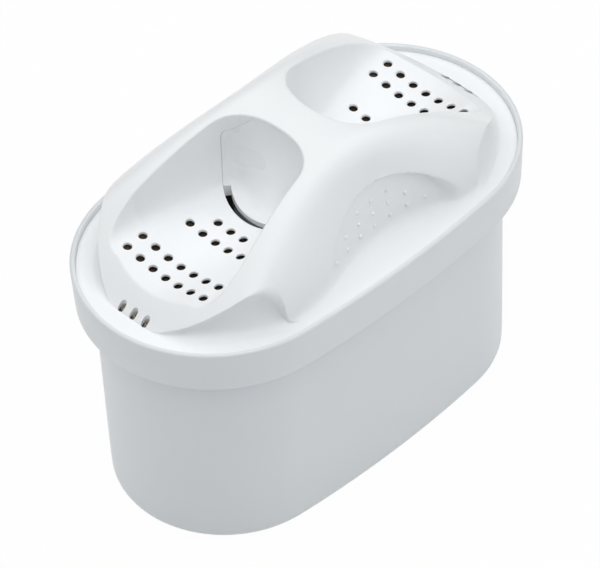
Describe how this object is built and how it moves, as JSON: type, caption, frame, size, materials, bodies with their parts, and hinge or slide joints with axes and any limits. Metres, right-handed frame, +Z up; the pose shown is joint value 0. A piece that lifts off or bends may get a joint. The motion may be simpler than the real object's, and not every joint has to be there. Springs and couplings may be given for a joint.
{
  "type": "jug water filter cartridge",
  "caption": "Oval drop-in water filter cartridge: collared tub, arched cover with open inlet basins, bridge grip, finger recesses and vents.",
  "frame": {"origin": "middle of the flat bottom of the tub", "axes": "+X along the oval, from one basin to the other, +Y across it, +Z up out of the funnel that holds the cartridge"},
  "size_m": [0.1092, 0.063, 0.082],
  "materials": {
    "housing_plastic": "white polypropylene, satin gloss",
    "cover_plastic": "white polypropylene, glossier than the tub",
    "insert_plastic": "white polypropylene, glossy",
    "pale_mesh": "pale woven mesh",
    "dark_mesh": "fine mesh stained by the carbon behind it",
    "carbon": "loose black grains",
    "fleece": "soft white fleece",
    "resin": "loose amber beads"
  },
  "bodies": {
    "root": {"housing": "housing_plastic", "cover": "cover_plastic", "flow_insert": "insert_plastic", "duct_screen": "dark_mesh", "inlet_screen_left": "dark_mesh", "inlet_screen_right": "dark_mesh", "vent_screen_left": "pale_mesh", "vent_screen_right": "pale_mesh", "carbon_bed": "carbon", "separator_fleece": "fleece", "resin_bed": "resin", "outlet_screen": "pale_mesh"}
  },
  "joints": []
}
